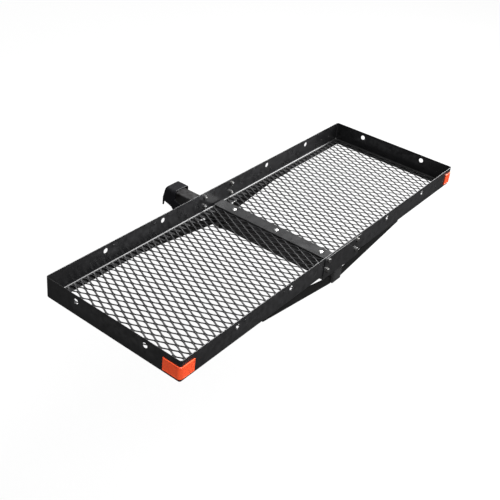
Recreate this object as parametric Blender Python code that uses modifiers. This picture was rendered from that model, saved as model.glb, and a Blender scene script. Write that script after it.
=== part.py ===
"""Hitch cargo carrier: a two-piece steel tray with an expanded-metal floor, carried on a
square hitch tube that folds up on a channel bracket.

Metres, +Z up.  The origin is the middle of the hitch plate's vehicle-side face, on the hitch
tube's centre line.  +Y points to the vehicle, and X runs along the tray.
"""
import math

import bmesh
import bpy
from mathutils import Matrix, Vector

# ---------------------------------------------------------------- driving dimensions
GAP = 0.0003                 # clearance between pieces that touch

TRAY_LENGTH = 1.524          # 60 in, along X
TRAY_WIDTH = 0.508           # 20 in, along Y
WALL_HEIGHT = 0.073
SHEET = 0.002                # tray sheet thickness
FLANGE = 0.032               # width of the inward floor flange
BEND_RADIUS = 0.004          # mid-sheet radius of the wall-to-flange bend
CORNER_RADIUS = 0.008        # upright corners of the tray

TUBE = 0.0508                # 2 in square hitch tube
TUBE_WALL = 0.003
HITCH_REACH = 0.207          # tray wall to hitch plate
TRAY_RISE = 0.016            # tube top to tray underside
TUBE_INSET = 0.005           # tray's rear wall to the tube's end

CAP_FLANGE = 0.003           # tube end cap: thickness of its face
CAP_DEPTH = 0.012            # and length of its plug
RAIL_SHEET = 0.0025
RAIL_LENGTH = 0.504

TRAY_Y = -HITCH_REACH - TRAY_WIDTH / 2
TRAY_Z = TUBE / 2 + TRAY_RISE
REAR_Y = TRAY_Y - TRAY_WIDTH / 2
FRONT_Y = TRAY_Y + TRAY_WIDTH / 2

TIE_DOWN_RADIUS = 0.0085
TIE_DOWN_Z = 0.052
LONG_WALL_TIE_DOWNS = (0.280, 0.532)
END_WALL_TIE_DOWN = 0.130

SPLICE_LENGTH = 0.209
SPLICE_THICKNESS = 0.0025
SPLICE_BOTTOM = -0.010       # the plates hang a little below the tray
SPLICE_TOP = 0.068
REAR_SPLICE_BOLT_X = 0.084
FRONT_SPLICE_BOLT_X = 0.072
SPLICE_BOLT_Z = (0.019, 0.055)

FLOOR_THICKNESS = 0.0045
FLOOR_COLUMNS = 9            # diamond openings along X in one half of the floor
FLOOR_ROWS = 3               # diamond openings along Y
FLOOR_STRAND = 0.009
FLOOR_RIM = 0.007
FLOOR_EDGE_CLEARANCE = 0.0055
STRIP_WIDTH = 0.049
STRIP_THICKNESS = 0.003
FLOOR_BOLT_Y = 0.178

STRUT_OFFSET = 0.243         # tray centre line to the strut's web
STRUT_SHEET = 0.004
STRUT_REACH = 0.395
STRUT_DEPTH = 0.027          # at the tube
STRUT_TIP = 0.014            # and at its far end
STRUT_TOP_START = 0.215      # where its top meets the tray's flange
STRUT_FLANGE = 0.020
STRUT_TAB = 0.040
STRUT_BOLT_INSET = 0.024
STRUT_LOW = -TUBE / 2        # the strut's underside at the tube
STRUT_BOLT_Z = STRUT_LOW + STRUT_DEPTH / 2

REFLECTOR_END_LEG = 0.060    # leg on the tray's end wall
LEFT_REAR_LEG = 0.054        # legs on the rear wall
RIGHT_REAR_LEG = 0.042
REFLECTOR_BOTTOM = 0.012
REFLECTOR_TOP = 0.053
REFLECTOR_THICKNESS = 0.0025

BRACKET_WIDTH = 0.074
BRACKET_LENGTH = 0.045
BRACKET_SHEET = 0.005
BRACKET_TOP = TUBE / 2 + 0.0094
BRACKET_BEND = 0.012
EAR_LENGTH = 0.012           # ears past the hitch plate's face
EAR_NOTCH = 0.007            # their drop starts this far past it
EAR_BOTTOM = -0.042
EAR_SHOULDER = -0.010
CHEEK_SHOULDER = 0.0             # height where the web's edge turns off along the lug
CHEEK_WAIST = (0.004, -0.0235)   # (y, z) of the cheek's lower edge behind the ears
CHEEK_KNEE = (-0.030, -0.034)
CHEEK_FOOT = (-0.037, -0.042)
HITCH_PLATE = 0.006
HITCH_PLATE_BOTTOM = -0.020
PAD_NEAR, PAD_FAR = -0.010, -0.044   # the stop pad's ends along the tube
PAD_HALF_WIDTH = 0.020
PIVOT_Y = -0.109
PIVOT_Z = -0.036
PIVOT_RADIUS = 0.006
LUG_RADIUS = 0.014
LUG_START = 110              # degrees round the lug where its upper edge leaves it
SLEEVE_RADIUS = -PIVOT_Z - TUBE / 2 - GAP
TUBE_FRONT_END = -0.029

M8 = {"shank": 0.004, "flats": 0.0065, "head": 0.0053, "nut": 0.0065}
M10 = {"shank": 0.005, "flats": 0.0080, "head": 0.0064, "nut": 0.0080}
M12 = {"shank": 0.006, "flats": 0.0090, "head": 0.0075, "nut": 0.0100}
DOME_RADIUS = 0.0085
DOME_HEIGHT = 0.0042
HOLE_CLEARANCE = 0.0005
THREAD_OUT = 0.003           # bolt end past its nut

SIDES = 12                   # facets on bolts and nuts
ROUND_SIDES = 16             # facets on larger round shapes


# ---------------------------------------------------------------- scene and materials
def clear_scene():
    for obj in list(bpy.data.objects):
        bpy.data.objects.remove(obj, do_unlink=True)


def new_collection(name):
    collection = bpy.data.collections.new(name)
    bpy.context.scene.collection.children.link(collection)
    return collection


def new_material(name, colour, roughness, metallic=0.0):
    material = bpy.data.materials.new(name)
    material.use_nodes = True
    shader = material.node_tree.nodes["Principled BSDF"]
    shader.inputs["Base Color"].default_value = (*colour, 1.0)
    shader.inputs["Roughness"].default_value = roughness
    shader.inputs["Metallic"].default_value = metallic
    return material


clear_scene()
PARTS = new_collection("hitch_cargo_carrier")
CUTTERS = new_collection("cutters")

MATERIALS = {
    "frame_paint": new_material("frame_paint", (0.028, 0.028, 0.030), 0.42),
    "floor_paint": new_material("floor_paint", (0.030, 0.030, 0.032), 0.45),
    "strip_paint": new_material("strip_paint", (0.050, 0.050, 0.052), 0.38),
    "tube_paint": new_material("tube_paint", (0.035, 0.034, 0.033), 0.45),
    "bracket_paint": new_material("bracket_paint", (0.025, 0.025, 0.028), 0.40),
    "zinc": new_material("zinc", (0.62, 0.62, 0.60), 0.30, 1.0),
    "cap_plastic": new_material("cap_plastic", (0.05, 0.05, 0.05), 0.55),
    "pad_rubber": new_material("pad_rubber", (0.02, 0.02, 0.02), 0.80),
    "reflector_amber": new_material("reflector_amber", (0.90, 0.10, 0.03), 0.18),
}


# ---------------------------------------------------------------- mesh helpers
def add_object(name, mesh, material, smooth=False, collection=PARTS):
    obj = bpy.data.objects.new(name, mesh)
    collection.objects.link(obj)
    if material:
        mesh.materials.append(MATERIALS[material])
    if smooth:
        mesh.shade_smooth()
        mesh.set_sharp_from_angle(angle=math.radians(35))
    return obj


def object_from_bmesh(name, bm, material, smooth=False, collection=PARTS):
    mesh = bpy.data.meshes.new(name)
    bmesh.ops.recalc_face_normals(bm, faces=bm.faces)
    bm.to_mesh(mesh)
    bm.free()
    return add_object(name, mesh, material, smooth, collection)


def add_box(bm, low, high):
    """A box between two corners."""
    low, high = Vector(low), Vector(high)
    size = high - low
    matrix = Matrix.Translation((low + high) / 2) @ Matrix.Diagonal((*size, 1.0))
    bmesh.ops.create_cube(bm, size=1.0, matrix=matrix)


def turn_to(axis):
    """The rotation that takes +Z to an axis."""
    return Vector((0, 0, 1)).rotation_difference(Vector(axis)).to_matrix().to_4x4()


def add_cylinder(bm, start, end, radius, sides=SIDES):
    start, end = Vector(start), Vector(end)
    matrix = Matrix.Translation((start + end) / 2) @ turn_to((end - start).normalized())
    bmesh.ops.create_cone(bm, cap_ends=True, segments=sides, radius1=radius, radius2=radius,
                          depth=(end - start).length, matrix=matrix)


def circle_points(radius, height, sides=SIDES):
    turns = [2 * math.pi * index / sides for index in range(sides)]
    return [Vector((radius * math.cos(t), radius * math.sin(t), height)) for t in turns]


def hexagon_points(flats, height, sides=SIDES):
    """A hexagon of half-width `flats`, with points also at the middle of its sides."""
    corner = flats / math.cos(math.pi / 6)
    return [Vector((radius * math.cos(2 * math.pi * index / sides),
                    radius * math.sin(2 * math.pi * index / sides), height))
            for index in range(sides)
            for radius in [corner if index % 2 == 0 else flats]]


def add_rings(bm, rings, matrix, closed_loop=False):
    """Skins a stack of rings; a closed loop joins the last ring to the first."""
    rows = [[bm.verts.new(matrix @ point) for point in ring] for ring in rings]
    count = len(rows[0])
    pairs = list(zip(rows, rows[1:]))
    if closed_loop:
        pairs.append((rows[-1], rows[0]))
    for lower, upper in pairs:
        for index in range(count):
            after = (index + 1) % count
            bm.faces.new((lower[index], lower[after], upper[after], upper[index]))
    if not closed_loop:
        bm.faces.new(rows[0][::-1])
        bm.faces.new(rows[-1])


def add_hex_bolt(bm, seat, axis, size, length):
    """A hex bolt whose head sits on `seat`; its shank runs along `axis`."""
    matrix = Matrix.Translation(seat) @ turn_to(axis)
    rings = [hexagon_points(size["flats"] * 0.9, -size["head"]),
             hexagon_points(size["flats"], -size["head"] * 0.85),
             hexagon_points(size["flats"], 0.0),
             circle_points(size["shank"], 0.0),
             circle_points(size["shank"], length)]
    add_rings(bm, rings, matrix)


def add_dome_bolt(bm, seat, axis, size, length):
    """A round-headed bolt whose head sits on `seat`."""
    matrix = Matrix.Translation(seat) @ turn_to(axis)
    levels = [math.radians(angle) for angle in (70, 40, 10)]
    dome = [circle_points(DOME_RADIUS * math.cos(a), -DOME_HEIGHT * math.sin(a)) for a in levels]
    rings = dome + [circle_points(DOME_RADIUS, 0.0),
                    circle_points(size["shank"], 0.0),
                    circle_points(size["shank"], length)]
    add_rings(bm, rings, matrix)


def add_nut(bm, seat, axis, size):
    """A hex nut that starts at `seat` and runs along `axis`, clear of its bolt."""
    matrix = Matrix.Translation(seat) @ turn_to(axis)
    hole = size["shank"] + GAP
    rings = [circle_points(hole, 0.0), hexagon_points(size["flats"], 0.0),
             hexagon_points(size["flats"], size["nut"]), circle_points(hole, size["nut"])]
    add_rings(bm, rings, matrix, closed_loop=True)


def make_bolt(name, seat, axis, size, length, material="zinc"):
    bm = bmesh.new()
    add_hex_bolt(bm, seat, axis, size, length)
    object_from_bmesh(name, bm, material)


def make_nut(name, seat, axis, size, material="zinc"):
    bm = bmesh.new()
    add_nut(bm, seat, axis, size)
    object_from_bmesh(name, bm, material)


def plate(name, outlines, thickness, matrix, material=None, collection=PARTS):
    """A flat plate from 2D outlines, the first its edge and the others its holes, with its
    middle plane on the matrix's XY plane."""
    curve = bpy.data.curves.new(name, "CURVE")
    curve.dimensions = "2D"
    curve.fill_mode = "BOTH"
    curve.extrude = thickness / 2
    for outline in outlines:
        spline = curve.splines.new("POLY")
        spline.points.add(len(outline) - 1)
        for point, (u, v) in zip(spline.points, outline):
            point.co = (u, v, 0.0, 1.0)
        spline.use_cyclic_u = True
    guide = bpy.data.objects.new(name + "_curve", curve)
    CUTTERS.objects.link(guide)
    bpy.context.view_layer.update()
    graph = bpy.context.evaluated_depsgraph_get()
    mesh = bpy.data.meshes.new_from_object(guide.evaluated_get(graph))
    bpy.data.objects.remove(guide, do_unlink=True)
    bm = bmesh.new()
    bm.from_mesh(mesh)
    bmesh.ops.remove_doubles(bm, verts=bm.verts, dist=0.00001)
    bmesh.ops.transform(bm, matrix=matrix, verts=bm.verts)
    mesh.clear_geometry()
    return object_from_bmesh(name, bm, material, collection=collection)


def boolean(obj, other, operation="DIFFERENCE"):
    """Cuts or joins `obj` with a helper, which is hidden from view."""
    other.hide_render = True
    other.display_type = "WIRE"
    modifier = obj.modifiers.new(operation.lower(), "BOOLEAN")
    modifier.operation = operation
    modifier.object = other
    modifier.solver = "EXACT"


def helper(name, bm):
    return object_from_bmesh(name, bm, None, collection=CUTTERS)


def arc(centre, radius, start, end, steps):
    """Points on an arc, angles in degrees."""
    angles = [math.radians(start + (end - start) * step / steps) for step in range(steps + 1)]
    return [(centre[0] + radius * math.cos(a), centre[1] + radius * math.sin(a)) for a in angles]


# Plate planes: each matrix takes a plate's own X, Y and normal to the carrier's axes.
def facing_x(x):
    """Own X, Y -> carrier Y, Z, with the normal along X."""
    return Matrix(((0, 0, 1, x), (1, 0, 0, 0), (0, 1, 0, 0), (0, 0, 0, 1)))


def facing_y(y):
    """Own X, Y -> carrier X, Z, with the normal along -Y."""
    return Matrix(((1, 0, 0, 0), (0, 0, -1, y), (0, 1, 0, 0), (0, 0, 0, 1)))


def facing_z(z):
    return Matrix.Translation((0, 0, z))


# ---------------------------------------------------------------- tray halves
def tray_profile():
    """The half's bent section as (inset from the outer face, height), at mid-sheet."""
    mid = SHEET / 2
    centre = (mid + BEND_RADIUS, mid + BEND_RADIUS)
    bend = arc(centre, BEND_RADIUS, 270, 180, 3)
    return [(FLANGE, mid)] + bend + [(mid, WALL_HEIGHT)]


def tray_path(inset, side):
    """Plan of one half's three walls at an inset, from its inner end round to the other."""
    half_length, half_width = TRAY_LENGTH / 2, TRAY_WIDTH / 2
    radius = max(CORNER_RADIUS - inset, 0.0)
    edge = max(CORNER_RADIUS, inset)
    centre_x, centre_y = half_length - edge, half_width - edge
    rear = [(x, -y) for x, y in arc((centre_x, centre_y), radius, 90, 0, 3)]
    front = arc((centre_x, centre_y), radius, 0, 90, 3)
    inner = GAP / 2
    points = [(inner, -(half_width - inset))] + rear + front + [(inner, half_width - inset)]
    return [(side * x, TRAY_Y + y) for x, y in points]


def long_walls():
    """The rear and front walls as (outer face y, outward direction, splice bolt x)."""
    return ((REAR_Y, -1, REAR_SPLICE_BOLT_X), (FRONT_Y, 1, FRONT_SPLICE_BOLT_X))


def wall_hole_places(side, bolt_x):
    """Every hole in one half's long wall as (x, height, radius, facets)."""
    holes = [(side * x, TIE_DOWN_Z, TIE_DOWN_RADIUS, ROUND_SIDES) for x in LONG_WALL_TIE_DOWNS]
    holes += [(side * bolt_x, z, M8["shank"] + HOLE_CLEARANCE, SIDES) for z in SPLICE_BOLT_Z]
    return holes


def make_tray_frame(name, side):
    bm = bmesh.new()
    rows = []
    for inset, height in tray_profile():
        rows.append([bm.verts.new((x, y, TRAY_Z + height)) for x, y in tray_path(inset, side)])
    for lower, upper in zip(rows, rows[1:]):
        for index in range(len(lower) - 1):
            bm.faces.new((lower[index], lower[index + 1], upper[index + 1], upper[index]))
    bmesh.ops.remove_doubles(bm, verts=bm.verts, dist=0.00001)
    frame = object_from_bmesh(name, bm, "frame_paint", smooth=True)
    solidify = frame.modifiers.new("sheet", "SOLIDIFY")
    solidify.thickness = SHEET
    solidify.offset = 0.0
    solidify.use_even_offset = True

    cutter = bmesh.new()
    reach = SHEET * 3
    for wall_y, _, bolt_x in long_walls():
        for x, z, radius, sides in wall_hole_places(side, bolt_x):
            add_cylinder(cutter, (x, wall_y - reach, TRAY_Z + z), (x, wall_y + reach, TRAY_Z + z),
                         radius, sides)
    end_x = side * TRAY_LENGTH / 2
    for y in (-END_WALL_TIE_DOWN, END_WALL_TIE_DOWN):
        add_cylinder(cutter, (end_x - reach, TRAY_Y + y, TRAY_Z + TIE_DOWN_Z),
                     (end_x + reach, TRAY_Y + y, TRAY_Z + TIE_DOWN_Z),
                     TIE_DOWN_RADIUS, ROUND_SIDES)
    boolean(frame, helper(name + "_holes", cutter))


# ---------------------------------------------------------------- floor
def clip(points, axis, limit, keep_above):
    """Cuts a convex outline with the line where coordinate `axis` equals `limit`."""
    result = []
    for current, following in zip(points, points[1:] + points[:1]):
        inside = (current[axis] >= limit) == keep_above
        next_inside = (following[axis] >= limit) == keep_above
        if inside:
            result.append(current)
        if inside != next_inside:
            share = (limit - current[axis]) / (following[axis] - current[axis])
            result.append(tuple(a + (b - a) * share for a, b in zip(current, following)))
    return result


def diamond_openings(low, high, columns, rows, strand, rim):
    """Diamond outlines on a staggered grid, cut off at the panel's rim."""
    pitch_x = (high[0] - low[0]) / columns
    pitch_y = (high[1] - low[1]) / rows
    slant = math.hypot(pitch_x, pitch_y)
    half_x = pitch_x / 2 - strand / 2 * slant / pitch_y
    half_y = pitch_y / 2 - strand / 2 * slant / pitch_x
    outlines = []
    for i in range(2 * columns + 1):
        for j in range(2 * rows + 1):
            if (i + j) % 2:
                continue
            x, y = low[0] + i * pitch_x / 2, low[1] + j * pitch_y / 2
            outline = [(x - half_x, y), (x, y - half_y), (x + half_x, y), (x, y + half_y)]
            for axis in (0, 1):
                outline = clip(outline, axis, low[axis] + rim, True)
                outline = clip(outline, axis, high[axis] - rim, False)
            outlines.append(outline)
    return outlines


def make_floor(name, side):
    """One half's expanded-metal panel, which lies on the tray's flange."""
    inner = M8["shank"] + HOLE_CLEARANCE * 2
    outer = TRAY_LENGTH / 2 - FLOOR_EDGE_CLEARANCE
    half = TRAY_WIDTH / 2 - FLOOR_EDGE_CLEARANCE
    low = (min(side * inner, side * outer), TRAY_Y - half)
    high = (max(side * inner, side * outer), TRAY_Y + half)
    edge = [low, (high[0], low[1]), high, (low[0], high[1])]
    holes = diamond_openings(low, high, FLOOR_COLUMNS, FLOOR_ROWS, FLOOR_STRAND, FLOOR_RIM)
    middle = TRAY_Z + SHEET + GAP + FLOOR_THICKNESS / 2
    plate(name, [edge] + holes, FLOOR_THICKNESS, facing_z(middle), "floor_paint")


def floor_top():
    return TRAY_Z + SHEET + GAP + FLOOR_THICKNESS


def floor_bolt_places():
    return [TRAY_Y + y for y in (-FLOOR_BOLT_Y, 0.0, FLOOR_BOLT_Y)]


def bolt_hole_cutter(name, low_z, high_z):
    """Upright holes for the three floor bolts."""
    bm = bmesh.new()
    for y in floor_bolt_places():
        add_cylinder(bm, (0, y, low_z), (0, y, high_z), M8["shank"] + HOLE_CLEARANCE)
    return helper(name, bm)


def make_center_strip():
    half = TRAY_WIDTH / 2 - FLOOR_EDGE_CLEARANCE
    bottom = floor_top() + GAP
    bm = bmesh.new()
    add_box(bm, (-STRIP_WIDTH / 2, TRAY_Y - half, bottom),
            (STRIP_WIDTH / 2, TRAY_Y + half, bottom + STRIP_THICKNESS))
    strip = object_from_bmesh("center_strip", bm, "strip_paint")
    boolean(strip, bolt_hole_cutter("strip_holes", bottom - 0.01, bottom + 0.01))


def make_center_rail():
    """A shallow channel, open side down, between the tray halves and the hitch tube."""
    half_width, sheet = TUBE / 2, RAIL_SHEET
    low, high = TUBE / 2 + GAP, TRAY_Z - GAP
    outline = [(-half_width, low), (-half_width + sheet, low), (-half_width + sheet, high - sheet),
               (half_width - sheet, high - sheet), (half_width - sheet, low), (half_width, low),
               (half_width, high), (-half_width, high)]
    rail = plate("center_rail", [outline], RAIL_LENGTH, facing_y(TRAY_Y), "tube_paint")
    boolean(rail, bolt_hole_cutter("rail_holes", low, high + 0.01))


def make_floor_fasteners():
    """Three long bolts that clamp strip, floor, rail and tube together."""
    seat_z = floor_top() + GAP + STRIP_THICKNESS + GAP
    nut_z = -TUBE / 2 - GAP
    length = seat_z - nut_z + M8["nut"] + THREAD_OUT
    for number, y in enumerate(floor_bolt_places(), start=1):
        bolt = bmesh.new()
        add_dome_bolt(bolt, (0, y, seat_z), (0, 0, -1), M8, length)
        object_from_bmesh(f"floor_bolt_{number}", bolt, "zinc", smooth=True)
        make_nut(f"floor_nut_{number}", (0, y, nut_z), (0, 0, -1), M8)


# ---------------------------------------------------------------- wall splices
def make_splice_plate(name, wall_y, outward, bolt_x):
    middle = wall_y + outward * (GAP + SPLICE_THICKNESS / 2)
    half = SPLICE_LENGTH / 2
    low, high = TRAY_Z + SPLICE_BOTTOM, TRAY_Z + SPLICE_TOP
    outline = [(-half, low), (half, low), (half, high), (-half, high)]
    splice = plate(name, [outline], SPLICE_THICKNESS, facing_y(middle), "frame_paint")
    bm = bmesh.new()
    for x in (-bolt_x, bolt_x):
        for z in SPLICE_BOLT_Z:
            add_cylinder(bm, (x, middle - 0.01, TRAY_Z + z), (x, middle + 0.01, TRAY_Z + z),
                         M8["shank"] + HOLE_CLEARANCE)
    boolean(splice, helper(name + "_holes", bm))


def make_splice_fasteners():
    for end, (wall_y, outward, bolt_x) in zip(("rear", "front"), long_walls()):
        seat = wall_y + outward * (2 * GAP + SPLICE_THICKNESS)
        nut_face = wall_y - outward * (SHEET + GAP)
        length = abs(seat - nut_face) + M8["nut"] + THREAD_OUT
        places = [(x, z) for x in (-bolt_x, bolt_x) for z in SPLICE_BOLT_Z]
        for number, (x, z) in enumerate(places, start=1):
            make_bolt(f"{end}_splice_bolt_{number}", (x, seat, TRAY_Z + z), (0, -outward, 0),
                      M8, length)
            make_nut(f"{end}_splice_nut_{number}", (x, nut_face, TRAY_Z + z), (0, -outward, 0), M8)


# ---------------------------------------------------------------- hitch tube
def make_hitch_tube():
    outer, inner = TUBE / 2, TUBE / 2 - TUBE_WALL
    start = REAR_Y + TUBE_INSET
    rings = []
    for half, y in ((inner, start), (outer, start), (outer, TUBE_FRONT_END),
                    (inner, TUBE_FRONT_END)):
        rings.append([Vector((half * sx, y, half * sz))
                      for sx, sz in ((-1, -1), (1, -1), (1, 1), (-1, 1))])
    bm = bmesh.new()
    add_rings(bm, rings, Matrix.Identity(4), closed_loop=True)
    tube = object_from_bmesh("hitch_tube", bm, "tube_paint")
    holes = bmesh.new()
    for y in floor_bolt_places():
        add_cylinder(holes, (0, y, -TUBE), (0, y, TUBE), M8["shank"] + HOLE_CLEARANCE)
    for y in strut_bolt_places():
        add_cylinder(holes, (-TUBE, y, STRUT_BOLT_Z), (TUBE, y, STRUT_BOLT_Z),
                     M10["shank"] + HOLE_CLEARANCE)
    boolean(tube, helper("tube_holes", holes))


def make_tube_end_cap():
    """A plug with a square flange that closes the tube's rear end."""
    outer, plug = TUBE / 2, TUBE / 2 - TUBE_WALL - GAP * 2
    face = REAR_Y + TUBE_INSET - GAP
    edge = CAP_FLANGE / 2
    rings = []
    for half, y in ((outer - edge, face - CAP_FLANGE), (outer, face - edge), (outer, face),
                    (plug, face), (plug, face + CAP_DEPTH)):
        rings.append([Vector((half * sx, y, half * sz))
                      for sx, sz in ((-1, -1), (1, -1), (1, 1), (-1, 1))])
    bm = bmesh.new()
    add_rings(bm, rings, Matrix.Identity(4))
    object_from_bmesh("tube_end_cap", bm, "cap_plastic")


# ---------------------------------------------------------------- struts
def strut_bolt_places():
    reach = STRUT_OFFSET - STRUT_BOLT_INSET
    return (TRAY_Y - reach, TRAY_Y + reach)


def make_strut(name, side, outward):
    """A tapered web under the tray's flange, with a top flange and a tab on the tube's side."""
    top = TRAY_Z - GAP
    root = TUBE / 2 + GAP
    web_y = TRAY_Y + outward * STRUT_OFFSET
    outline = [(root, STRUT_LOW), (STRUT_REACH, top - STRUT_TIP), (STRUT_REACH, top),
               (STRUT_TOP_START, top), (root, STRUT_LOW + STRUT_DEPTH)]
    outline = [(side * x, z) for x, z in outline]
    strut = plate(name, [outline], STRUT_SHEET, facing_y(web_y), "tube_paint")

    inner_face = web_y - outward * STRUT_SHEET / 2
    flange = bmesh.new()
    ends = sorted((side * STRUT_TOP_START * 1.05, side * STRUT_REACH))
    sides = sorted((web_y, inner_face - outward * STRUT_FLANGE))
    add_box(flange, (ends[0], sides[0], top - STRUT_SHEET), (ends[1], sides[1], top))
    boolean(strut, helper(name + "_flange", flange), "UNION")

    tab = bmesh.new()
    ends = sorted((side * root, side * (root + STRUT_SHEET)))
    sides = sorted((web_y, inner_face - outward * STRUT_TAB))
    add_box(tab, (ends[0], sides[0], STRUT_LOW), (ends[1], sides[1], STRUT_LOW + STRUT_DEPTH))
    boolean(strut, helper(name + "_tab", tab), "UNION")

    hole = bmesh.new()
    bolt_y = TRAY_Y + outward * (STRUT_OFFSET - STRUT_BOLT_INSET)
    add_cylinder(hole, (0, bolt_y, STRUT_BOLT_Z), (side * TUBE, bolt_y, STRUT_BOLT_Z),
                 M10["shank"] + HOLE_CLEARANCE)
    boolean(strut, helper(name + "_hole", hole))


def make_strut_fasteners():
    face = TUBE / 2 + STRUT_SHEET + GAP * 2
    length = 2 * face + M10["nut"] + THREAD_OUT
    for end, y in zip(("rear", "front"), strut_bolt_places()):
        make_bolt(end + "_strut_bolt", (-face, y, STRUT_BOLT_Z), (1, 0, 0), M10, length)
        make_nut(end + "_strut_nut", (face, y, STRUT_BOLT_Z), (1, 0, 0), M10)


# ---------------------------------------------------------------- reflectors
def make_reflector(name, side, rear_leg):
    """An L-shaped lens that wraps the rear corner of the tray."""
    inner = GAP
    outer = GAP + REFLECTOR_THICKNESS
    corner_x, corner_y = TRAY_LENGTH / 2, REAR_Y
    centre = (corner_x - CORNER_RADIUS, corner_y + CORNER_RADIUS)
    outline = [(corner_x - rear_leg, corner_y - inner), (corner_x - rear_leg, corner_y - outer)]
    outline += arc(centre, CORNER_RADIUS + outer, 270, 360, 5)
    outline += [(corner_x + outer, corner_y + REFLECTOR_END_LEG),
                (corner_x + inner, corner_y + REFLECTOR_END_LEG)]
    outline += arc(centre, CORNER_RADIUS + inner, 360, 270, 5)
    outline = [(side * x, y) for x, y in outline]
    middle = TRAY_Z + (REFLECTOR_BOTTOM + REFLECTOR_TOP) / 2
    plate(name, [outline], REFLECTOR_TOP - REFLECTOR_BOTTOM, facing_z(middle), "reflector_amber")


# ---------------------------------------------------------------- fold bracket
def bracket_cheek_outline():
    """Side view of the bracket as (y, z): a deep cheek over the tube's end, ears that reach
    past the hitch plate, and a lug that drops under the tube to the pivot."""
    lug = arc((PIVOT_Y, PIVOT_Z), LUG_RADIUS, LUG_START, 270, 8)
    web = [(-BRACKET_LENGTH, BRACKET_TOP), (-BRACKET_LENGTH, CHEEK_SHOULDER)]
    ear = [(EAR_NOTCH, EAR_BOTTOM), (EAR_LENGTH, EAR_BOTTOM), (EAR_LENGTH, EAR_SHOULDER)]
    return web + lug + [CHEEK_FOOT, CHEEK_KNEE, CHEEK_WAIST] + ear + [(0.0, BRACKET_TOP)]


def bracket_section():
    """End view of the channel as (x, z), open side down."""
    outer, inner = BRACKET_WIDTH / 2, BRACKET_WIDTH / 2 - BRACKET_SHEET
    bottom = PIVOT_Z - LUG_RADIUS * 2
    centre = (outer - BRACKET_BEND, BRACKET_TOP - BRACKET_BEND)
    outside = [(outer, bottom)] + arc(centre, BRACKET_BEND, 0, 90, 4)
    inside = [(inner, bottom)] + arc(centre, BRACKET_BEND - BRACKET_SHEET, 0, 90, 4)
    left_outside = [(-x, z) for x, z in outside[::-1]]
    left_inside = [(-x, z) for x, z in inside]
    return outside + left_outside + left_inside + inside[::-1]


def make_fold_bracket():
    """The bent channel is the overlap of its end view and its side view."""
    bracket = plate("fold_bracket", [bracket_section()], -PIVOT_Y * 2, facing_y(PIVOT_Y / 2),
                    "bracket_paint")
    side_view = plate("bracket_side_view", [bracket_cheek_outline()], BRACKET_WIDTH * 2,
                      facing_x(0.0), collection=CUTTERS)
    boolean(bracket, side_view, "INTERSECT")
    hole = bmesh.new()
    add_cylinder(hole, (-BRACKET_WIDTH, PIVOT_Y, PIVOT_Z), (BRACKET_WIDTH, PIVOT_Y, PIVOT_Z),
                 PIVOT_RADIUS + HOLE_CLEARANCE, ROUND_SIDES)
    boolean(bracket, helper("bracket_holes", hole))


def make_hitch_plate():
    half = BRACKET_WIDTH / 2 - BRACKET_SHEET - GAP
    top = BRACKET_TOP - BRACKET_SHEET - GAP
    shoulder = BRACKET_BEND - BRACKET_SHEET
    low = HITCH_PLATE_BOTTOM
    outline = [(-half, low), (half, low), (half, top - shoulder), (half - shoulder, top),
               (-half + shoulder, top), (-half, top - shoulder)]
    plate("hitch_plate", [outline], HITCH_PLATE, facing_y(-HITCH_PLATE / 2), "bracket_paint")


def make_stop_pad():
    bm = bmesh.new()
    add_box(bm, (-PAD_HALF_WIDTH, PAD_FAR, TUBE / 2 + GAP),
            (PAD_HALF_WIDTH, PAD_NEAR, BRACKET_TOP - BRACKET_SHEET - GAP))
    object_from_bmesh("stop_pad", bm, "pad_rubber")


def make_pivot():
    """The pivot's bolt and nut on the bracket, and the sleeve on the tube that turns on it."""
    cheek = BRACKET_WIDTH / 2 + GAP
    make_bolt("pivot_bolt", (-cheek, PIVOT_Y, PIVOT_Z), (1, 0, 0), M12,
              2 * cheek + M12["nut"] + THREAD_OUT, "bracket_paint")
    make_nut("pivot_nut", (cheek, PIVOT_Y, PIVOT_Z), (1, 0, 0), M12, "bracket_paint")

    half = BRACKET_WIDTH / 2 - BRACKET_SHEET - GAP * 2
    bore = PIVOT_RADIUS + HOLE_CLEARANCE
    rings = [circle_points(radius, x, ROUND_SIDES)
             for radius, x in ((bore, -half), (SLEEVE_RADIUS, -half),
                               (SLEEVE_RADIUS, half), (bore, half))]
    sleeve = bmesh.new()
    add_rings(sleeve, rings, turn_to((1, 0, 0)), closed_loop=True)
    obj = object_from_bmesh("pivot_sleeve", sleeve, "tube_paint", smooth=True)
    obj.location = (0, PIVOT_Y, PIVOT_Z)


# ---------------------------------------------------------------- assembly
def parent_to_pivot(names):
    """Parents the folding pieces to an empty on the pivot's axis."""
    pivot = bpy.data.objects.new("tray_pivot", None)
    pivot.location = (0, PIVOT_Y, PIVOT_Z)
    PARTS.objects.link(pivot)
    bpy.context.view_layer.update()
    for obj in PARTS.objects:
        if obj.type == "MESH" and obj.name not in names:
            obj.parent = pivot
            obj.matrix_parent_inverse = pivot.matrix_world.inverted()


def main():
    for name, side, rear_leg in (("left", -1, LEFT_REAR_LEG), ("right", 1, RIGHT_REAR_LEG)):
        make_tray_frame(name + "_tray_frame", side)
        make_floor(name + "_mesh_floor", side)
        make_reflector(name + "_reflector", side, rear_leg)
    for end, (wall_y, outward, bolt_x) in zip(("rear", "front"), long_walls()):
        make_splice_plate(end + "_splice_plate", wall_y, outward, bolt_x)
        for name, side in (("left", -1), ("right", 1)):
            make_strut(f"{end}_{name}_strut", side, outward)
    make_center_strip()
    make_center_rail()
    make_floor_fasteners()
    make_splice_fasteners()
    make_hitch_tube()
    make_tube_end_cap()
    make_strut_fasteners()
    make_fold_bracket()
    make_hitch_plate()
    make_stop_pad()
    make_pivot()
    parent_to_pivot(("fold_bracket", "hitch_plate", "stop_pad", "pivot_bolt", "pivot_nut"))


main()
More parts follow.
